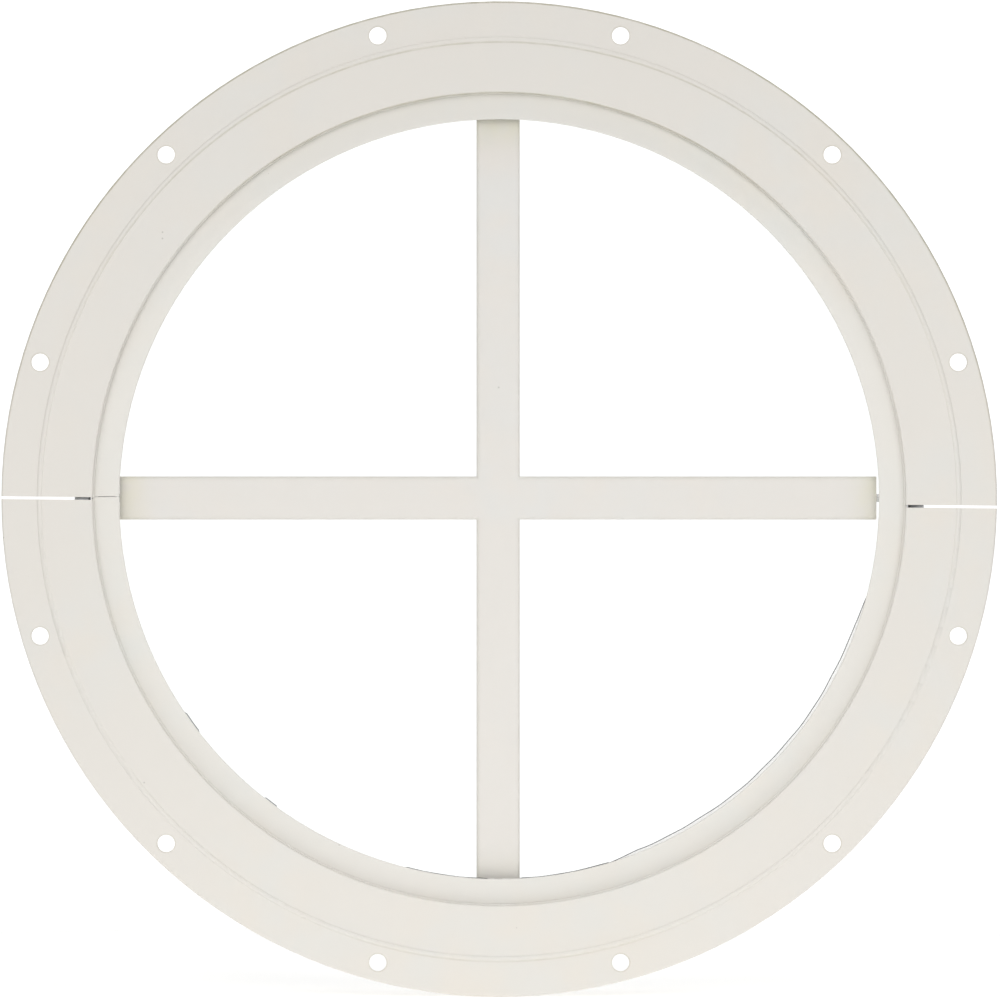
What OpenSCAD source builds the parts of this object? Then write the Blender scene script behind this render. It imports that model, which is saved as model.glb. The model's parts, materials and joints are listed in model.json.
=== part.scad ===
// Round fixed window: a two-part flanged ring frame, a glazing hoop, one pane and a cross-shaped grille.
// The frame's centre is the origin, on the plane of the flange's back face.
// The outdoor face looks towards -Y, the room side towards +Y, and +Z is up.
// Depths are measured from the flange's back face towards the room, so the flange itself has depths below 0.

/* [Opening and barrel] */
// Diameter of the clear opening inside the lip
sight_d = 279.4; // [200:0.1:400]
// Depth of the barrel behind the flange
barrel_depth = 25.4; // [21:0.1:40]
// Radial width of the hollow barrel
box_w = 8.7; // [7.2:0.1:14]
// Wall of the hollow barrel
frame_wall = 1.5; // [1:0.1:2]

/* [Flange] */
// How far the flange reaches out past the barrel
flange_w = 24.75; // [18:0.05:40]
// Thickness of the flange
flange_t = 1.6; // [1.2:0.1:2.5]
// Rounding of the flange's front edges
edge_round = 0.7; // [0.3:0.1:1]
// Distance from the flange's outer edge to the middle of the rib
rib_inset = 14; // [12:0.1:16]
// Width of the raised rib
rib_w = 2; // [1.2:0.1:3]
// Height of the rib above the flange
rib_h = 0.5; // [0.2:0.1:0.8]

/* [Fixing holes] */
// Number of fixing holes in each frame half
holes_per_half = 6; // [3:1:8]
// Diameter of a fixing hole
hole_d = 6.4; // [4:0.1:7]
// Distance from the flange's outer edge to a hole's centre
hole_inset = 6.9; // [5:0.1:8]
// Angle from the level line to the first fixing hole
seam_hole_angle = 16.6; // [8:0.1:22]

/* [Seam between the frame halves] */
// Open gap between the two frame halves
seam_gap = 1; // [0.4:0.1:2]
// Slope of the seam line, lower on the right, in degrees
seam_tilt = 0.54; // [0:0.01:1]
// How far the seam line runs below the centre
seam_drop = 1.2; // [0:0.1:2]

/* [Glazing hoop] */
// Radial width of the lip, from the opening to the hoop's outside
lip_w = 9.3; // [7.7:0.1:12]
// Thickness of the lip
lip_t = 1.4; // [1:0.1:2]
// Depth of the lip's face behind the flange's face
lip_recess = 5; // [2:0.1:6]
// Rounding of the lip's front edges
lip_round = 0.5; // [0.2:0.1:0.8]
// Wall of the hoop
hoop_wall = 1.4; // [1.2:0.1:1.8]
// Radial gap between the hoop and the frame
hoop_gap = 0.3; // [0.1:0.1:0.6]
// How far the hoop stops short of the barrel's rear face
hoop_setback = 1; // [0.5:0.1:2]
// Gap where the hoop's two ends meet
hoop_joint_gap = 0.2; // [0.1:0.05:0.5]
// Height of that joint above the centre
hoop_joint_rise = 0.9; // [0:0.1:2]

/* [Pane, tape and bead] */
// Thickness of the tape between the lip and the pane
tape_t = 1; // [0.5:0.1:1.5]
// How far the tape stops short of the lip's inner edge
tape_inset = 1.5; // [1:0.1:3]
// Thickness of the glass
glass_t = 3; // [2.5:0.1:4]
// Radial gap between the glass and the hoop's wall
glass_edge_gap = 1; // [0.5:0.1:1.5]
// Ground chamfer round the edge of the glass
glass_arris = 0.4; // [0.2:0.1:0.8]
// How far the bead stops short of the lip's inner edge
bead_inset = 1.8; // [1.5:0.1:2.5]
// Width of the bead's rear face
bead_top_w = 2.6; // [1.5:0.1:3.5]
// Height of the bead's upright inner edge
bead_edge_h = 2; // [1:0.1:3]
// Radial gap between the bead and the hoop's wall
bead_gap = 0.3; // [0.1:0.1:0.4]
// Radius of the groove in the hoop's wall, and of the bead's snap ridge
snap_r = 0.6; // [0.4:0.1:0.7]
// Gap where the bead's two ends meet
bead_joint_gap = 0.4; // [0.2:0.1:1]

/* [Grille] */
// Width of a bar
bar_w = 15.9; // [10:0.1:22]
// Thickness of a bar
bar_t = 4.8; // [4:0.1:6]
// Rounding of a bar's long edges
bar_round = 1.2; // [0.5:0.1:1.6]
// Gap between the glass and the bars
bar_glass_gap = 0.4; // [0.3:0.1:1]
// How far each end of the upright bar runs behind the lip
upright_cover = 0.5; // [0:0.1:0.7]
// How far each end of the crossbar stops short of the lip's inner edge
crossbar_gap = 0.35; // [0:0.05:1]
// How far the whole cross sits left of the centre
grille_left = 0.4; // [0:0.1:0.5]
// How far the whole cross sits above the centre
grille_up = 0.4; // [0:0.1:0.5]

/* [Grille pins] */
// Diameter of a pin
pin_d = 3; // [2:0.1:3.6]
// Depth of the bore for a pin in each end of a bar
pin_bore_depth = 12; // [8:1:20]
// Radial clearance of a pin in its bore
pin_clearance = 0.1; // [0.05:0.05:0.3]
// Radial clearance of a pin in the bead's notch
notch_clearance = 0.2; // [0.1:0.05:0.3]

/* [Splice keys] */
// Length of a key along the ring
key_len = 54; // [48:1:80]
// Gap between a key and the walls round it
key_gap = 0.3; // [0.1:0.1:0.5]
// Depth of a key's front behind the flange
key_front = 6; // [3:0.5:8]
// Distance from the seam to the nearer screw of each pair
key_screw_near = 8; // [6:0.5:10]
// Distance from the seam to the further screw of each pair
key_screw_far = 20; // [16:0.5:21]

/* [Screws] */
// Number of screws that hold the hoop
hoop_screw_count = 10; // [6:2:14]
// Shank diameter of a screw
screw_d = 2.9; // [2.4:0.1:3.2]
// Head diameter of a screw
head_d = 5; // [4.5:0.1:5.2]
// Head height of a screw
head_h = 1.8; // [1.4:0.1:2.2]
// Length of a splice screw's shank
splice_screw_len = 12; // [8:1:14]
// How far a hoop screw's tip stands out inside the barrel
hoop_screw_reach = 2.5; // [1:0.5:2.5]
// Radial clearance of a screw in its hole
screw_clearance = 0.15; // [0.05:0.05:0.3]
// Width of the cross recess in a head
recess_w = 0.9; // [0.6:0.1:1.2]
// Length of the cross recess in a head
recess_len = 3; // [2:0.1:3.6]
// Depth of the cross recess in a head
recess_depth = 1; // [0.6:0.1:1.2]

/* [Hidden] */

// Smoothness of the rings, and of holes and roundings
ring_fn = 180;
small_fn = 48;
// How far a cutting tool runs past what it cuts
past = 1;
// A flat head touches the hoop's curved wall at its rim, so it stands this far off
head_seat = 0.05;

// Radii, from the opening outwards
sight_r = sight_d / 2;
hoop_out_r = sight_r + lip_w;
hoop_in_r = hoop_out_r - hoop_wall;
frame_in_r = hoop_out_r + hoop_gap;
barrel_r = frame_in_r + box_w;
flange_r = barrel_r + flange_w;
rib_r = flange_r - rib_inset;
hole_r = flange_r - hole_inset;
box_in_r = frame_in_r + frame_wall;
box_out_r = barrel_r - frame_wall;
box_mid_r = (box_in_r + box_out_r) / 2;

// Depths, from the flange's face towards the room
lip_front = lip_recess - flange_t;
lip_back = lip_front + lip_t;
glass_front = lip_back + tape_t;
glass_back = glass_front + glass_t;
bar_front = glass_back + bar_glass_gap;
bar_middle = bar_front + bar_t / 2;
bar_back = bar_front + bar_t;
hoop_end = barrel_depth - hoop_setback;
hoop_screw_depth = hoop_end - head_d / 2 - hoop_setback / 2;
bead_end = hoop_screw_depth - head_d / 2 - bead_gap;
snap_depth = (bar_middle + pin_d / 2 + bead_end) / 2;
key_back = barrel_depth - frame_wall - key_gap;

// Bead
bead_in_r = sight_r + bead_inset;
bead_out_r = hoop_in_r - bead_gap;
bead_top_r = bead_out_r - bead_top_w;
bead_joint_angle = 225;
// The snap ridge's centre lies this far inside the bead
snap_root = snap_r / 5;

// Grille: half lengths of the bars, and the radius where the pins end
upright_half = sight_r + upright_cover;
crossbar_half = sight_r - crossbar_gap;
pin_tip_r = hoop_in_r - bead_gap;
pin_bore_d = pin_d + 2 * pin_clearance;
notch_d = pin_d + 2 * notch_clearance;
// Sides of the opening: right, top, left and bottom, counted by the angle seen from outdoors
SIDES = [0, 90, 180, 270];

// Fixing holes: angles from the straight-up direction, evenly spaced in each half
hole_pitch = (180 - 2 * seam_hole_angle) / (holes_per_half - 1);
HOLE_ANGLES = [for (i = [0 : holes_per_half - 1]) seam_hole_angle + i * hole_pitch];

// Screws
screw_hole_d = screw_d + 2 * screw_clearance;
hoop_screw_len = head_seat + hoop_wall + hoop_gap + frame_wall + hoop_screw_reach;
hoop_screw_pitch = 360 / hoop_screw_count;
HOOP_SCREW_ANGLES = [for (i = [0 : hoop_screw_count - 1]) (i + 0.5) * hoop_screw_pitch];

// Where the seam line crosses the barrel: the height and the angle, on the right (1) or the left (-1)
function seam_height(side) = -seam_drop - side * box_mid_r * sin(seam_tilt);
function seam_angle(side) = side > 0 ? asin(seam_height(1) / box_mid_r) : 180 - asin(seam_height(-1) / box_mid_r);
// The angle of a length measured along the middle of the barrel
function arc_angle(length) = length / box_mid_r * 180 / PI;
// Screw places along a key, measured from the seam
KEY_SCREWS = [-key_screw_far, -key_screw_near, key_screw_near, key_screw_far];

// Section of a plain ring band between two radii and two depths
module band(r0, r1, d0, d1) {
    translate([r0, -d1]) square([r1 - r0, d1 - d0]);
}

// What a rounding takes off the corner at radius r and depth d
// side_r and side_d are 1 or -1 and point from the corner into the material
module corner_waste(r, d, round_r, side_r, side_d) {
    centre_r = r + side_r * round_r;
    centre_d = d + side_d * round_r;
    outside_r = r - side_r * past;
    outside_d = d - side_d * past;
    difference() {
        band(min(outside_r, centre_r), max(outside_r, centre_r), min(outside_d, centre_d), max(outside_d, centre_d));
        translate([centre_r, -centre_d]) circle(r = round_r, $fn = small_fn);
    }
}

// Turns a section into a ring, or into part of one that starts at an angle
module turned(from = 0, angle = 360) {
    rotate([90, 0, 0]) rotate([0, 0, from]) rotate_extrude(angle = angle, $fn = ring_fn) children();
}

// Places something on a ring, with its own X pointing outwards
module on_ring(angle, radius) {
    rotate([0, -angle, 0]) translate([radius, 0, 0]) children();
}

// Round rod that runs towards the room from depth d0 to depth d1
module rod_in(diameter, d0, d1) {
    translate([0, d0, 0]) rotate([-90, 0, 0]) cylinder(h = d1 - d0, d = diameter, $fn = small_fn);
}

// Round rod that runs outwards along X from x0 to x1, at a depth
module rod_out(diameter, x0, x1, depth) {
    translate([x0, depth, 0]) rotate([0, 90, 0]) cylinder(h = x1 - x0, d = diameter, $fn = small_fn);
}

// Pan-head screw with a cross recess: the shank runs along +Z from the head's flat underside
module pan_screw(shank_len) {
    difference() {
        union() {
            cylinder(h = shank_len, d = screw_d, $fn = small_fn);
            rotate_extrude($fn = small_fn) pan_head_section();
        }
        for (turn = [0, 90]) {
            rotate([0, 0, turn]) translate([-recess_len / 2, -recess_w / 2, -head_h - past])
                cube([recess_len, recess_w, recess_depth + past]);
        }
    }
}

module pan_head_section() {
    head_round = head_h / 2;
    translate([0, -head_h]) square([head_d / 2 - head_round, head_h]);
    translate([0, head_round - head_h]) square([head_d / 2, head_round]);
    translate([head_d / 2 - head_round, head_round - head_h]) circle(r = head_round, $fn = small_fn);
}

// Section of the frame: flange with its rib, and the hollow barrel behind it
module frame_section() {
    difference() {
        union() {
            band(frame_in_r, flange_r, -flange_t, 0);
            band(frame_in_r, barrel_r, -flange_t, barrel_depth);
        }
        band(box_in_r, box_out_r, 0, barrel_depth - frame_wall);
        corner_waste(flange_r, -flange_t, edge_round, -1, 1);
        corner_waste(frame_in_r, -flange_t, edge_round, 1, 1);
    }
    rib_section();
}

// The rib is the cap of a circle that is rib_w wide where it leaves the flange
module rib_section() {
    round_r = (rib_w * rib_w / 4 + rib_h * rib_h) / (2 * rib_h);
    intersection() {
        translate([rib_r, flange_t + rib_h - round_r]) circle(r = round_r, $fn = small_fn);
        band(rib_r - rib_w, rib_r + rib_w, -flange_t - rib_h, -flange_t / 2);
    }
}

// Everything above (side 1) or below (side -1) the seam, clear of half its gap
module beyond_seam(side) {
    reach = 2 * flange_r;
    low = side > 0 ? seam_gap / 2 : -seam_gap / 2 - reach;
    translate([0, 0, -seam_drop]) rotate([0, seam_tilt, 0])
        translate([-reach, -reach, low]) cube([2 * reach, 2 * reach, reach]);
}

// One half of the frame: side is 1 for the upper half and -1 for the lower
module frame_half(side) {
    difference() {
        intersection() {
            turned() frame_section();
            beyond_seam(side);
        }
        for (a = HOLE_ANGLES) on_ring(side * a, hole_r) rod_in(hole_d, -flange_t - past, past);
        for (a = HOOP_SCREW_ANGLES) {
            if ((a < 180) == (side > 0)) {
                on_ring(a, frame_in_r) rod_out(screw_hole_d, -past, frame_wall + past, hoop_screw_depth);
            }
        }
        for (end = [-1, 1], s = KEY_SCREWS) {
            if (s * side * end > 0) {
                on_ring(seam_angle(end) + arc_angle(s), box_mid_r)
                    rod_in(screw_hole_d, barrel_depth - frame_wall - past, barrel_depth + past);
            }
        }
    }
}

module upper_frame_half() {
    color([0.89, 0.875, 0.845]) frame_half(1);
}

module lower_frame_half() {
    color([0.89, 0.875, 0.845]) frame_half(-1);
}

// Section of the hoop: an outer wall, the lip in front, and the groove for the bead
module hoop_section() {
    difference() {
        union() {
            band(sight_r, hoop_out_r, lip_front, lip_back);
            band(hoop_in_r, hoop_out_r, lip_front, hoop_end);
        }
        corner_waste(sight_r, lip_front, lip_round, 1, 1);
        corner_waste(hoop_out_r, lip_front, lip_round, -1, 1);
        translate([hoop_in_r, -snap_depth]) circle(r = snap_r, $fn = small_fn);
    }
}

module glazing_hoop() {
    color([0.89, 0.875, 0.845]) difference() {
        turned() hoop_section();
        for (a = HOOP_SCREW_ANGLES) {
            on_ring(a, hoop_in_r) rod_out(screw_hole_d, -past, hoop_wall + past, hoop_screw_depth);
        }
        translate([-hoop_out_r - past, lip_front - past, hoop_joint_rise - hoop_joint_gap / 2])
            cube([lip_w + 2 * past, barrel_depth, hoop_joint_gap]);
    }
}

module front_glazing_tape() {
    color([0.2, 0.2, 0.2])
        turned() band(sight_r + tape_inset, hoop_in_r - glass_edge_gap, lip_back, glass_front);
}

module glass_pane() {
    edge_r = hoop_in_r - glass_edge_gap;
    color([0.85, 0.92, 0.9, 0.35]) turned() polygon([
        [0, -glass_front],
        [edge_r - glass_arris, -glass_front],
        [edge_r, -glass_front - glass_arris],
        [edge_r, -glass_back + glass_arris],
        [edge_r - glass_arris, -glass_back],
        [0, -glass_back]
    ]);
}

// Section of the bead: its sloping face looks towards the room and the opening
module bead_section() {
    polygon([
        [bead_in_r, -glass_back],
        [bead_in_r, -glass_back - bead_edge_h],
        [bead_top_r, -bead_end],
        [bead_out_r, -bead_end],
        [bead_out_r, -glass_back]
    ]);
    translate([bead_out_r - snap_root, -snap_depth]) circle(r = snap_r, $fn = small_fn);
}

// Moves something that was made for an end of a bar to the side of the opening at an angle
module at_bar_end(angle) {
    translate([-grille_left, 0, grille_up]) rotate([0, -angle, 0]) children();
}

module rear_glazing_bead() {
    color([0.9, 0.9, 0.88]) difference() {
        turned() bead_section();
        for (a = SIDES) {
            at_bar_end(a) {
                rod_out(notch_d, sight_r, hoop_in_r + past, bar_middle);
                translate([sight_r, glass_back - past, -notch_d / 2])
                    cube([lip_w + past, bar_middle - glass_back + past, notch_d]);
            }
        }
        on_ring(bead_joint_angle, sight_r) translate([0, glass_back - past, -bead_joint_gap / 2])
            cube([lip_w, barrel_depth, bead_joint_gap]);
    }
}

// Cross-section of a bar, centred, with its four edges rounded
module bar_section() {
    flat_w = bar_w - 2 * bar_round;
    flat_t = bar_t - 2 * bar_round;
    square([flat_w, bar_t], center = true);
    square([bar_w, flat_t], center = true);
    for (x = [-1, 1], y = [-1, 1]) {
        translate([x * flat_w / 2, y * flat_t / 2]) circle(r = bar_round, $fn = small_fn);
    }
}

// A whole bar along Z before it is lapped
module plain_bar(half_len) {
    translate([-grille_left, bar_middle, grille_up - half_len])
        linear_extrude(height = 2 * half_len) bar_section();
}

module plain_upright() {
    plain_bar(upright_half);
}

module plain_crossbar() {
    translate([-grille_left, 0, grille_up]) rotate([0, 90, 0]) translate([grille_left, 0, -grille_up])
        plain_bar(crossbar_half);
}

// The square block where the bars cross, between two depths
module lap_block(d0, d1) {
    translate([-grille_left - bar_w / 2, d0, grille_up - bar_w / 2]) cube([bar_w, d1 - d0, bar_w]);
}

// Bores for the pins in both ends of a bar
module pin_bores(angles, half_len) {
    for (a = angles) at_bar_end(a) rod_out(pin_bore_d, half_len - pin_bore_depth, half_len + past, bar_middle);
}

// The upright bar keeps the front half of the crossing
module vertical_grille_bar() {
    color([0.91, 0.895, 0.87]) difference() {
        union() {
            plain_upright();
            intersection() {
                plain_crossbar();
                lap_block(bar_front, bar_middle);
            }
        }
        lap_block(bar_middle, bar_back + past);
        pin_bores([90, 270], upright_half);
    }
}

// The crossbar keeps the rear half of the crossing
module horizontal_grille_bar() {
    color([0.91, 0.895, 0.87]) difference() {
        union() {
            plain_crossbar();
            intersection() {
                plain_upright();
                lap_block(bar_middle, bar_back);
            }
        }
        lap_block(bar_front - past, bar_middle);
        pin_bores([0, 180], crossbar_half);
    }
}

// One pin: it starts near the bottom of its bore and ends where the bead does
module grille_pin(half_len) {
    tip = pin_d / 6;
    inner_x = half_len - pin_bore_depth + pin_clearance;
    // The cross is off centre, so the furthest pin is the one that sets how long they can be
    outer_x = pin_tip_r - max(grille_left, grille_up);
    translate([inner_x, bar_middle, 0]) rotate([0, 90, 0]) {
        cylinder(h = outer_x - inner_x - tip, d = pin_d, $fn = small_fn);
        translate([0, 0, outer_x - inner_x - tip])
            cylinder(h = tip, d1 = pin_d, d2 = pin_d - 2 * tip, $fn = small_fn);
    }
}

module grille_pins() {
    color([0.93, 0.93, 0.9]) {
        for (a = [0, 180]) at_bar_end(a) grille_pin(crossbar_half);
        for (a = [90, 270]) at_bar_end(a) grille_pin(upright_half);
    }
}

// A key fills the hollow barrel on both sides of the seam: side is 1 for the right and -1 for the left
module splice_key(side) {
    span = arc_angle(key_len);
    difference() {
        turned(seam_angle(side) - span / 2, span)
            band(box_in_r + key_gap, box_out_r - key_gap, key_front, key_back);
        for (s = KEY_SCREWS) {
            on_ring(seam_angle(side) + arc_angle(s), box_mid_r)
                rod_in(screw_hole_d, barrel_depth - splice_screw_len - past, barrel_depth);
        }
    }
}

module left_splice_key() {
    color([0.72, 0.73, 0.74]) splice_key(-1);
}

module right_splice_key() {
    color([0.72, 0.73, 0.74]) splice_key(1);
}

module splice_screws() {
    color([0.75, 0.75, 0.73]) for (end = [-1, 1], s = KEY_SCREWS) {
        on_ring(seam_angle(end) + arc_angle(s), box_mid_r)
            translate([0, barrel_depth, 0]) rotate([90, 0, 0]) pan_screw(splice_screw_len);
    }
}

module hoop_screws() {
    color([0.75, 0.75, 0.73]) for (a = HOOP_SCREW_ANGLES) {
        on_ring(a, hoop_in_r - head_seat)
            translate([0, hoop_screw_depth, 0]) rotate([0, 90, 0]) pan_screw(hoop_screw_len);
    }
}

upper_frame_half();
lower_frame_half();
glazing_hoop();
front_glazing_tape();
glass_pane();
rear_glazing_bead();
vertical_grille_bar();
horizontal_grille_bar();
grille_pins();
left_splice_key();
right_splice_key();
splice_screws();
hoop_screws();
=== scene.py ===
"""Looks of a round fixed window: a flanged frame in two halves, a hoop with the pane, and a grille."""

import json
import math

import bmesh
import bpy
from mathutils import Matrix, Vector


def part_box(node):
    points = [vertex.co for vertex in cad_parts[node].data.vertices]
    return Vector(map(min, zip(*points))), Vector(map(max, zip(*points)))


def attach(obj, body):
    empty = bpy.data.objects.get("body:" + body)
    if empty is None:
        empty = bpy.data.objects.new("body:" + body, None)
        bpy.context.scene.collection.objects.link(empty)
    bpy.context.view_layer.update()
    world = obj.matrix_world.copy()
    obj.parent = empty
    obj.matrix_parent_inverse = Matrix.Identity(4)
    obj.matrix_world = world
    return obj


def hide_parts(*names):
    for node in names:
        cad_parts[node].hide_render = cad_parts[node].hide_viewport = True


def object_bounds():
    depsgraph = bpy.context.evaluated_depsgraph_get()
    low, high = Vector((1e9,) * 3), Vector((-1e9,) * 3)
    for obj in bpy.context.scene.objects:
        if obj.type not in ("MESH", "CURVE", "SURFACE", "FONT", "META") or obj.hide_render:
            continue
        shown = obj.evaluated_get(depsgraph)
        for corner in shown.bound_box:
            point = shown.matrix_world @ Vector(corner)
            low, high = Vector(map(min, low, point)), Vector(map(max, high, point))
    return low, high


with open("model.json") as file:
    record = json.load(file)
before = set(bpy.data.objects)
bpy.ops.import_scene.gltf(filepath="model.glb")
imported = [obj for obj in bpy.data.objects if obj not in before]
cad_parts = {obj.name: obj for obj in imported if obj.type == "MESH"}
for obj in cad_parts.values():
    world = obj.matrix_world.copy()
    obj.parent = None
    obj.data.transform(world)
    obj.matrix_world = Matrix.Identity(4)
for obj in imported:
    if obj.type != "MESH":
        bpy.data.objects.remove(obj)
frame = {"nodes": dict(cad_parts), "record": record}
cad_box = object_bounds()

MM = 0.001
NODES = frame["nodes"]
MOUNTS = {m["name"]: m for m in frame["record"]["mounts"]}


# ---------------------------------------------------------------- measures

# The frame gives these, apart from the height of the hoop's joint and the rib's distance from the rim

def reach(node):
    """Least and greatest distance of a CAD node from the window's axis."""
    distances = [math.hypot(v.co.x, v.co.z) for v in NODES[node].data.vertices]
    return min(distances), max(distances)


def quarter_hole(name):
    """Centre of the one hole of a pattern that lies right of and above the window's centre."""
    sizes = MOUNTS[name]["dims"]
    return Vector((sizes["spacing_x_mm"] / 2 * MM, 0, sizes["spacing_y_mm"] / 2 * MM))


HOOP_JOINT_HEIGHT = 0.9 * MM
STEP_RADIUS, RIM_RADIUS = reach("upper_frame_half")
LIP_RADIUS, HOOP_RADIUS = reach("glazing_hoop")
RIB_FROM_RIM = 14 * MM
RIB_RADIUS = RIM_RADIUS - RIB_FROM_RIM
BAR_HALF_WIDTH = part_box("vertical_grille_bar")[1].x
FLANGE_HOLES = [
    quarter_hole("flange_holes_beside_vertical"),
    quarter_hole("flange_holes_diagonal"),
    quarter_hole("flange_holes_beside_level"),
]
HOLE_RADIUS = MOUNTS["flange_holes_diagonal"]["dims"]["hole_r_mm"] * MM


# ---------------------------------------------------------------- shader nodes

class Figure:
    """A number on its way through a finish. Sums written with it add Math nodes."""

    def __init__(self, finish, socket):
        self.finish = finish
        self.socket = socket

    def sum(self, operation, first, second=0.0, third=0.0):
        values = {0: first, 1: second, 2: third}
        return self.finish.node("ShaderNodeMath", {"operation": operation}, values)

    def __add__(self, other):
        return self.sum("ADD", self, other)

    def __sub__(self, other):
        return self.sum("SUBTRACT", self, other)

    def __rsub__(self, other):
        return self.sum("SUBTRACT", other, self)

    def __mul__(self, other):
        return self.sum("MULTIPLY", self, other)

    def __truediv__(self, other):
        return self.sum("DIVIDE", self, other)

    def __pow__(self, other):
        return self.sum("POWER", self, other)

    def __gt__(self, other):
        return self.sum("GREATER_THAN", self, other)

    def __abs__(self):
        return self.sum("ABSOLUTE", self)

    __radd__ = __add__
    __rmul__ = __mul__

    def least(self, other):
        return self.sum("MINIMUM", self, other)

    def root(self):
        return self.sum("SQRT", self)


class Finish:
    """One material: a Principled shader and the nodes that feed it."""

    def __init__(self, name, **constants):
        self.material = bpy.data.materials.new(name)
        self.material.use_nodes = True
        self.tree = self.material.node_tree
        self.shader = self.tree.nodes["Principled BSDF"]
        for socket, value in constants.items():
            self.shader.inputs[socket.replace("_", " ")].default_value = value
        self.place = self.node("ShaderNodeTexCoord", output="Object")
        self.x = self.part_of_place("X")
        self.y = self.part_of_place("Y")
        self.z = self.part_of_place("Z")
        self.radius = (self.x * self.x + self.z * self.z).root()
        self.angle = self.x.sum("ARCTAN2", self.z, self.x)

    def node(self, kind, settings=None, inputs=None, output=0):
        """Adds a node and returns one of its outputs as a Figure."""
        made = self.tree.nodes.new(kind)
        for name, value in (settings or {}).items():
            setattr(made, name, value)
        for name, value in (inputs or {}).items():
            self.feed(made.inputs[name], value)
        return Figure(self, made.outputs[output])

    def feed(self, socket, value):
        if isinstance(value, Figure):
            self.tree.links.new(value.socket, socket)
        elif isinstance(value, tuple) and len(value) == 3 and socket.type == "RGBA":
            socket.default_value = (*value, 1)
        else:
            socket.default_value = value

    def set(self, socket, value):
        self.feed(self.shader.inputs[socket], value)

    def part_of_place(self, axis):
        return self.node("ShaderNodeSeparateXYZ", inputs={0: self.place}, output=axis)

    def stretched(self, along_x, along_y, along_z):
        scale = {0: self.place, 1: (along_x, along_y, along_z)}
        return self.node("ShaderNodeVectorMath", {"operation": "MULTIPLY"}, scale)

    def vector(self, x, y, z):
        return self.node("ShaderNodeCombineXYZ", inputs={0: x, 1: y, 2: z})

    def noise(self, size, detail=2.0, roughness=0.5, place=None):
        """Cloudy pattern from 0 to 1 with blotches of about this size in metres."""
        inputs = {"Vector": place or self.place, "Scale": 1 / size}
        inputs.update({"Detail": detail, "Roughness": roughness})
        return self.node("ShaderNodeTexNoise", inputs=inputs)

    def cells(self, size, output="Distance"):
        inputs = {"Vector": self.place, "Scale": 1 / size}
        return self.node("ShaderNodeTexVoronoi", inputs=inputs, output=output)

    def rising(self, value, low, high):
        """0 below low, 1 above high and smooth between. With high below low it falls instead."""
        settings = {"interpolation_type": "SMOOTHSTEP"}
        inputs = {"Value": value, "From Min": low, "From Max": high}
        return self.node("ShaderNodeMapRange", settings, inputs)

    def near(self, value, middle, reach):
        """1 where the value is at middle, falling to 0 at this reach from it."""
        return self.rising(abs(value - middle), reach, 0)

    def blend(self, share, first, second):
        settings = {"data_type": "RGBA"}
        return self.node("ShaderNodeMix", settings, {0: share, 6: first, 7: second}, output=2)

    def tinted(self, share, colour, tint):
        """The colour multiplied by the tint, by a share from 0 to 1."""
        settings = {"data_type": "RGBA", "blend_type": "MULTIPLY"}
        return self.node("ShaderNodeMix", settings, {0: share, 6: colour, 7: tint}, output=2)

    def raise_by(self, *heights):
        """Bumps the surface by the sum of these heights in metres."""
        total = heights[0]
        for height in heights[1:]:
            total = total + height
        self.set("Normal", self.node("ShaderNodeBump", inputs={"Height": total, "Distance": 1.0}))

    def specks(self, spacing, size, share):
        """Sparse small dots: 1 in a dot of about this size, in this share of the cells."""
        distance = self.cells(spacing) * spacing
        chosen = self.node("ShaderNodeSeparateColor", inputs={0: self.cells(spacing, "Color")})
        return self.rising(distance, size, size / 2) * (chosen > 1 - share)


# ---------------------------------------------------------------- finishes

# What a face of the pane mirrors of a ray that meets it head on
GLASS_SHINE = 0.03
# Paint colours: the plain coat, and its warmer and cooler clouds
FRAME_COAT = [(0.745, 0.715, 0.665), (0.752, 0.715, 0.656), (0.733, 0.718, 0.678)]
# The hoop's coat is the frame's coat made a few percent lighter: painted light that offsets the shade in
# the recess where the lip sits
HOOP_COAT = [(0.770, 0.748, 0.702), (0.777, 0.748, 0.693), (0.758, 0.751, 0.712)]
GRILLE_COAT = [(0.86, 0.806, 0.772), (0.867, 0.803, 0.76), (0.845, 0.81, 0.79)]
PRIMER = (0.42, 0.40, 0.36)
# Tints that the paint is multiplied by: the first for real dust and for painted shade alike, the second
# for yellowed paint
DUST_AND_SHADE = (0.66, 0.65, 0.55)
YELLOWED = (1.0, 0.995, 0.88)


def paint(name, coat, marks_and_shade):
    """Warm off-white spray paint: clouds, orange peel, a few specks, and a multiplied tint for each mark,
    which is a real stain for some marks and painted shade for others.
    """
    finish = Finish(name, Specular_IOR_Level=0.45)
    plain, warm, cool = coat
    colour = finish.blend(finish.rising(finish.noise(22 * MM, 3), 0.3, 0.7), cool, warm)
    colour = finish.blend(finish.rising(finish.noise(70 * MM, 2), 0.35, 0.65), colour, plain)
    patchiness = finish.noise(6 * MM, 4)
    for mark, stain_and_shade_tint in marks_and_shade:
        colour = finish.tinted(mark(finish) * patchiness, colour, stain_and_shade_tint)
    dots = finish.specks(6.5 * MM, 0.45 * MM, 0.05)
    finish.set("Base Color", finish.blend(dots * 0.55, colour, PRIMER))
    finish.set("Roughness", 0.36 + finish.noise(9 * MM, 3) * 0.16 + dots * 0.2)
    peel = finish.noise(1.6 * MM, 2) * (0.012 * MM)
    waves = finish.noise(28 * MM, 1) * (0.10 * MM)
    dust_nibs = finish.specks(4 * MM, 0.35 * MM, 0.12) * (0.03 * MM)
    finish.raise_by(peel, waves, dust_nibs)
    return finish.material


def step_painted_shade(finish):
    """Painted shade along the step between the frame and the hoop, nearly all of it at the top, where the
    frame's edge would shade the hoop from light above.
    """
    shade_towards_top = 0.05 + finish.rising(finish.z, 85 * MM, 138 * MM) * 0.95
    return finish.near(finish.radius, STEP_RADIUS, 0.45 * MM) * shade_towards_top * 1.4


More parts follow.
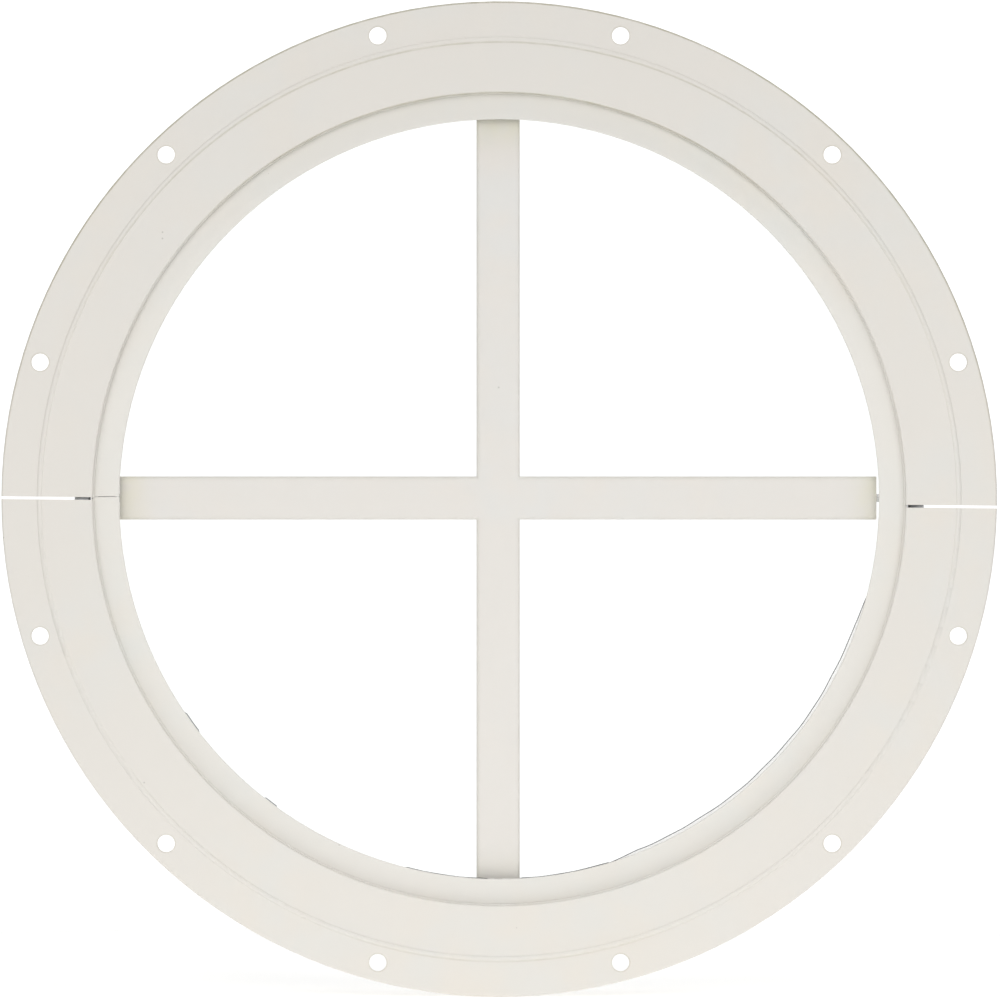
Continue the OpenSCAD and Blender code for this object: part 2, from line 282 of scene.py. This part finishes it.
def rib_painted_shade(finish):
    """Painted shade at the foot of the rib, as light from above falls on it: the inner foot above the
    centre, the outer foot at the lowest place.
    """
    half_width = 1.0 * MM
    upward = finish.z / finish.radius
    shaded_foot = RIB_RADIUS - upward * half_width
    shade_weight = finish.rising(upward, 0.1, 1.0) + finish.rising(upward, -0.9, -1.0) * 0.5
    return finish.near(finish.radius - shaded_foot, 0, 0.6 * MM) * shade_weight * 0.9


def hole_dirt(finish):
    """Grime around the rims of the screw holes. The holes mirror left to right and top to bottom."""
    across, up = abs(finish.x), abs(finish.z)
    total = None
    for hole in FLANGE_HOLES:
        distance = ((across - hole.x) ** 2 + (up - hole.z) ** 2).root()
        rim = finish.near(distance, HOLE_RADIUS, 0.7 * MM)
        total = rim if total is None else total + rim
    return total * 0.8


def bar_edge_wear(finish):
    """Thin, cooler paint along the long edges of the grille bars."""
    across = abs(finish.x).least(abs(finish.z))
    worn_width = 1.2 * MM
    return finish.rising(across, BAR_HALF_WIDTH - worn_width, BAR_HALF_WIDTH) * 0.25


def bar_end_yellowing(finish):
    """Paint that has yellowed where the bars meet the bead, least on the lowest bar."""
    reach_inwards = 14 * MM
    beside_bead = finish.rising(finish.radius, LIP_RADIUS - reach_inwards, LIP_RADIUS)
    return beside_bead * (0.5 + finish.rising(finish.z, -60 * MM, 20 * MM) * 1.2)


def rim_painted_shade(finish):
    """Painted shade on the upper part of the flange's outer edge, which faces up, away from the light."""
    upper = finish.rising(finish.z, -40 * MM, 110 * MM)
    return finish.rising(finish.radius, RIM_RADIUS - 0.9 * MM, RIM_RADIUS - 0.4 * MM) * upper * 1.8


def glass():
    """Clear float glass with a trace of green, faint wiping marks and the gloss of a smooth sheet."""
    finish = Finish("Float glass", Base_Color=(1, 1, 1, 1), Metallic=1.0)
    smears = finish.noise(30 * MM, 4, 0.6, finish.stretched(1, 1, 0.35))
    finish.set("Roughness", 0.02 + finish.rising(smears, 0.45, 0.8) * 0.10)
    clear = finish.node("ShaderNodeBsdfTransparent", inputs={"Color": (0.986, 0.993, 0.989)})
    glancing = finish.node("ShaderNodeLayerWeight", inputs={"Blend": 0.5}, output="Facing")
    shine = GLASS_SHINE + glancing ** 5 * (1 - GLASS_SHINE)
    mirror = Figure(finish, finish.shader.outputs[0])
    both = finish.node("ShaderNodeMixShader", inputs={0: shine, 1: clear, 2: mirror})
    finish.tree.links.new(both.socket, finish.tree.nodes["Material Output"].inputs["Surface"])
    return finish.material


def foam_tape():
    """Closed-cell foam tape: a white film on its outdoor face, and dark, pitted foam at its edges."""
    finish = Finish("Foam glazing tape", Roughness=0.9)
    pores = finish.cells(0.5 * MM)
    foam = finish.blend(finish.rising(pores, 0.1, 0.6), (0.055, 0.056, 0.058), (0.115, 0.115, 0.118))
    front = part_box("front_glazing_tape")[0].y
    film = finish.rising(finish.y, front + 0.12 * MM, front + 0.06 * MM)
    finish.set("Base Color", finish.blend(film, foam, (0.93, 0.93, 0.92)))
    finish.raise_by(pores * (0.12 * MM), finish.noise(4 * MM, 2) * (0.1 * MM))
    return finish.material


def vinyl():
    """White extruded vinyl with die lines that run round the ring."""
    finish = Finish("Extruded vinyl bead", Specular_IOR_Level=0.5)
    clouds = finish.noise(26 * MM, 3)
    across = finish.vector(finish.radius, finish.y, finish.angle * 0.002)
    lines = finish.noise(0.35 * MM, 2, 0.5, across)
    colour = finish.blend(clouds, (0.80, 0.79, 0.755), (0.845, 0.84, 0.81))
    colour = finish.tinted(finish.rising(lines, 0.55, 0.8) * 0.25, colour, (0.86, 0.85, 0.82))
    finish.set("Base Color", finish.blend(finish.specks(9 * MM, 0.4 * MM, 0.2) * 0.4, colour, PRIMER))
    finish.set("Roughness", 0.42 + lines * 0.2)
    finish.raise_by(lines * (0.02 * MM), finish.noise(12 * MM, 2) * (0.05 * MM))
    return finish.material


def nylon():
    """Natural nylon, waxy and translucent."""
    finish = Finish("Natural nylon", Subsurface_Weight=0.15)
    clouds = finish.noise(2.5 * MM, 3)
    finish.set("Base Color", finish.blend(clouds, (0.87, 0.86, 0.81), (0.91, 0.90, 0.86)))
    finish.set("Roughness", 0.38 + clouds * 0.2)
    finish.set("Alpha", 0.38 + clouds * 0.15)
    finish.raise_by(finish.noise(0.6 * MM, 2) * (0.02 * MM))
    return finish.material


def mill_aluminium():
    """Bare aluminium bar with fine drawing lines and dull patches."""
    finish = Finish("Mill aluminium", Metallic=1.0)
    across = finish.vector(finish.radius, finish.y, finish.angle * 0.003)
    lines = finish.noise(0.25 * MM, 3, 0.6, across)
    dull = finish.rising(finish.noise(8 * MM, 4), 0.4, 0.7)
    finish.set("Base Color", finish.blend(dull, (0.78, 0.79, 0.80), (0.60, 0.61, 0.62)))
    finish.set("Roughness", 0.26 + lines * 0.18 + dull * 0.16)
    finish.raise_by(lines * (0.02 * MM))
    return finish.material


def zinc():
    """Zinc-plated steel: bright with a faint blue and yellow bloom, duller in small patches."""
    finish = Finish("Zinc plated steel", Metallic=1.0)
    bloom = finish.noise(1.8 * MM, 3)
    colour = finish.blend(finish.rising(bloom, 0.35, 0.65), (0.66, 0.69, 0.73), (0.76, 0.74, 0.66))
    spots = finish.rising(finish.noise(0.7 * MM, 3), 0.6, 0.75)
    finish.set("Base Color", finish.tinted(spots * 0.5, colour, (0.62, 0.60, 0.56)))
    finish.set("Roughness", 0.24 + finish.noise(0.9 * MM, 3) * 0.24)
    finish.raise_by(finish.noise(0.4 * MM, 2) * (0.012 * MM))
    return finish.material


def studio_floor():
    """Pale, matt studio paper."""
    finish = Finish("Pale studio floor", Specular_IOR_Level=0.2)
    clouds = finish.noise(300 * MM, 2)
    finish.set("Base Color", finish.blend(clouds, (0.93, 0.93, 0.925), (0.95, 0.95, 0.945)))
    finish.set("Roughness", 0.7 + finish.noise(40 * MM, 2) * 0.1)
    return finish.material


def give(material, *pieces):
    """Puts one finish on each of these pieces."""
    for piece in pieces:
        piece.data.materials.clear()
        piece.data.materials.append(material)


# ---------------------------------------------------------------- studio

WINDOW_CENTRE = Vector((0, 0, 0))


def studio_light(name, place, size, power):
    """A round soft light of this size in metres and power in watts, aimed at the window's centre."""
    lamp = bpy.data.lights.new(name, "AREA")
    lamp.shape = "DISK"
    lamp.size = size
    lamp.energy = power
    holder = bpy.data.objects.new(name, lamp)
    holder.location = place
    holder.rotation_euler = (WINDOW_CENTRE - Vector(place)).to_track_quat("-Z", "Y").to_euler()
    holder.visible_camera = False
    bpy.context.scene.collection.objects.link(holder)
    return holder


def shine_only_on(lamp, thing):
    """Limits a lamp to one thing, and lets its light pass all the others without a shadow."""
    reached = bpy.data.collections.new(f"Reached by {lamp.name}")
    reached.objects.link(thing)
    lamp.light_linking.receiver_collection = reached
    lamp.light_linking.blocker_collection = reached


def white_room(light, seen):
    """An even white surround: its strength as light, and as what is seen behind the window."""
    world = bpy.data.worlds.new("White room")
    world.use_nodes = True
    bpy.context.scene.world = world
    nodes = world.node_tree.nodes
    path = nodes.new("ShaderNodeLightPath")
    strength = nodes.new("ShaderNodeMix")
    strength.inputs["A"].default_value = light
    strength.inputs["B"].default_value = seen
    world.node_tree.links.new(path.outputs["Is Camera Ray"], strength.inputs["Factor"])
    background = nodes["Background"]
    background.inputs["Color"].default_value = (1, 1, 1, 1)
    world.node_tree.links.new(strength.outputs[0], background.inputs["Strength"])


def studio_floor_disc(height, radius):
    """A round floor at this height, just large enough for the window and its shade."""
    mesh = bpy.data.meshes.new("studio_floor")
    bm = bmesh.new()
    level = Matrix.Translation((0, 0, height))
    bmesh.ops.create_circle(bm, cap_ends=True, segments=96, radius=radius, matrix=level)
    bm.to_mesh(mesh)
    bm.free()
    floor = bpy.data.objects.new("studio_floor", mesh)
    bpy.context.scene.collection.objects.link(floor)
    give(studio_floor(), floor)
    return floor


def camera(distance, view_width, aim):
    """A long lens that looks straight at the outdoor face and sees this width at the flange."""
    lens = bpy.data.cameras.new("Camera")
    lens.sensor_width = 36
    lens.lens = lens.sensor_width * distance / view_width
    lens.clip_end = 50
    holder = bpy.data.objects.new("Camera", lens)
    holder.location = (aim[0], -distance, aim[1])
    holder.rotation_euler = (math.radians(90), 0, 0)
    bpy.context.scene.collection.objects.link(holder)
    bpy.context.scene.camera = holder


# ---------------------------------------------------------------- new pieces

# Where the glazing tape swells into view: middle and half span in degrees, how far it passes the lip
TAPE_SWELLS = [
    (-44, 33, 0.85 * MM),
    (-80, 9, -0.12 * MM),
    (-98, 8, -0.15 * MM),
    (-127, 1.4, 0.1 * MM),
    (-144, 2.4, 0.1 * MM),
]


def finished(name, bm, material):
    """Makes a shaped mesh into a piece of the window that rides with the frame."""
    bmesh.ops.recalc_face_normals(bm, faces=bm.faces)
    mesh = bpy.data.meshes.new(name)
    bm.to_mesh(mesh)
    bm.free()
    mesh.shade_smooth()
    mesh.set_sharp_from_angle(angle=math.radians(40))
    piece = bpy.data.objects.new(name, mesh)
    bpy.context.scene.collection.objects.link(piece)
    give(material, piece)
    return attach(piece, "root")


def turned_ring(section, steps):
    """A closed ring turned from a section, a list of (radius, depth) points."""
    bm = bmesh.new()
    corners = [bm.verts.new((radius, depth, 0)) for radius, depth in section]
    edges = [bm.edges.new((corners[i - 1], corners[i])) for i in range(len(corners))]
    bmesh.ops.spin(bm, geom=corners + edges, axis=(0, 1, 0), angle=math.tau, steps=steps, use_merge=True)
    bmesh.ops.remove_doubles(bm, verts=bm.verts, dist=0.001 * MM)
    return bm


def paint_fillet():
    """Paint that bridges the narrow gap between the hoop's lip and the frame, as a hollow fillet."""
    lip_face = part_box("glazing_hoop")[0].y
    leg = 0.5 * MM
    buried = 0.55 * MM
    steps = 6
    hollow = []
    for i in range(steps + 1):
        turn = math.radians(90 * i / steps)
        hollow.append((STEP_RADIUS - leg * (1 - math.sin(turn)), lip_face - leg * (1 - math.cos(turn))))
    outside = [(STEP_RADIUS + buried, lip_face - leg), (STEP_RADIUS + buried, lip_face + buried)]
    outside.append((STEP_RADIUS - leg, lip_face + buried))
    return finished("lip_paint_fillet", turned_ring(hollow + outside, 360), hoop_paint)


def tape_tail(material):
    """The tape's cut end, tucked into the joint between the hoop's two ends."""
    low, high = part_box("glazing_hoop")
    length = 1.5 * MM
    depth = high.y - low.y - 0.6 * MM
    thickness = 0.196 * MM
    inset = 0.1 * MM
    middle = (-HOOP_RADIUS + length / 2 + inset, (low.y + high.y) / 2, HOOP_JOINT_HEIGHT)
    bm = bmesh.new()
    bmesh.ops.create_cube(bm, size=1)
    bmesh.ops.scale(bm, vec=(length, depth, thickness), verts=bm.verts)
    bmesh.ops.translate(bm, vec=middle, verts=bm.verts)
    rounding = 0.04 * MM
    bmesh.ops.bevel(
        bm, geom=bm.edges, offset=rounding, affect="EDGES", segments=2, profile=0.5, material=-1
    )
    return finished("hoop_joint_tape_tail", bm, material)


def squeezed_tape(material):
    """The glazing tape under the lip. The pane has squeezed its edge into view at the lower right."""
    low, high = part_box("front_glazing_tape")
    inner, outer = reach("front_glazing_tape")
    cut = 0.35 * MM
    section = [(outer, low.y), (outer, high.y), (inner, high.y), (inner - cut, high.y - cut)]
    section += [(inner - cut, low.y + cut), (inner, low.y)]
    bm = turned_ring(section, 720)
    middle = (inner + outer) / 2
    for vertex in bm.verts:
        place = vertex.co
        radius = math.hypot(place.x, place.z)
        if radius < middle:
            angle = math.degrees(math.atan2(place.z, place.x))
            moved = (radius - tape_squeeze(angle)) / radius
            vertex.co = (place.x * moved, place.y, place.z * moved)
    tape = finished("squeezed_glazing_tape", bm, material)
    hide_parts("front_glazing_tape")
    return tape


def tape_squeeze(angle):
    """How far the tape's inner edge stands in from its cut line at this angle in degrees."""
    to_lip = reach("front_glazing_tape")[0] - LIP_RADIUS
    swell = 0
    for middle, half_span, proud in TAPE_SWELLS:
        away = min(1, abs(angle - middle) / half_span)
        swell = max(swell, (to_lip + proud) * min(1, 2.2 * (1 - away ** 2)))
    turn = math.radians(angle)
    wavy = 0.04 * math.sin(turn * 23) + 0.03 * math.sin(turn * 61)
    return swell * (1 + wavy)


# ---------------------------------------------------------------- the window

# The frame's marks: painted shade along the step, at the rib's foot and on the upper rim, and real grime
# round the screw holes
frame_dirt_and_shade = [(step_painted_shade, DUST_AND_SHADE), (rib_painted_shade, DUST_AND_SHADE), (rim_painted_shade, DUST_AND_SHADE), (hole_dirt, DUST_AND_SHADE)]
frame_paint = paint("Frame paint", FRAME_COAT, frame_dirt_and_shade)
# The hoop carries the same painted shade along the step
hoop_paint = paint("Hoop paint", HOOP_COAT, [(step_painted_shade, DUST_AND_SHADE)])
grille_paint = paint("Grille paint", GRILLE_COAT, [(bar_edge_wear, DUST_AND_SHADE), (bar_end_yellowing, YELLOWED)])

give(frame_paint, NODES["upper_frame_half"], NODES["lower_frame_half"])
give(hoop_paint, NODES["glazing_hoop"])
give(grille_paint, NODES["vertical_grille_bar"], NODES["horizontal_grille_bar"])
give(glass(), NODES["glass_pane"])
give(vinyl(), NODES["rear_glazing_bead"])
give(nylon(), NODES["grille_pins"])
give(mill_aluminium(), NODES["left_splice_key"], NODES["right_splice_key"])
give(zinc(), NODES["splice_screws"], NODES["hoop_screws"])

paint_fillet()
tape = foam_tape()
squeezed_tape(tape)
tape_tail(tape)

camera(distance=3.0, view_width=367.2 * MM, aim=(0.3 * MM, -0.33 * MM))
white_room(light=0.49, seen=1.15)
studio_light("Key", place=(-0.2, -2.3, 0.85), size=0.95, power=10)
studio_light("Top light", place=(0, -0.55, 1.5), size=0.5, power=3.2)
studio_light("Right fill", place=(0.3, -0.5, 0.10), size=0.25, power=0.40)
studio_light("Left fill", place=(-0.3, -0.5, 0.10), size=0.25, power=0.33)
studio_light("Rear fill", place=(0.9, 2.2, 1.7), size=1.4, power=16)
floor = studio_floor_disc(height=cad_box[0].z, radius=0.5)
floor_light = studio_light("Floor light", place=(0, 0, 2.4), size=1.4, power=28)
shine_only_on(floor_light, floor)
bpy.context.scene.view_settings.view_transform = "Standard"
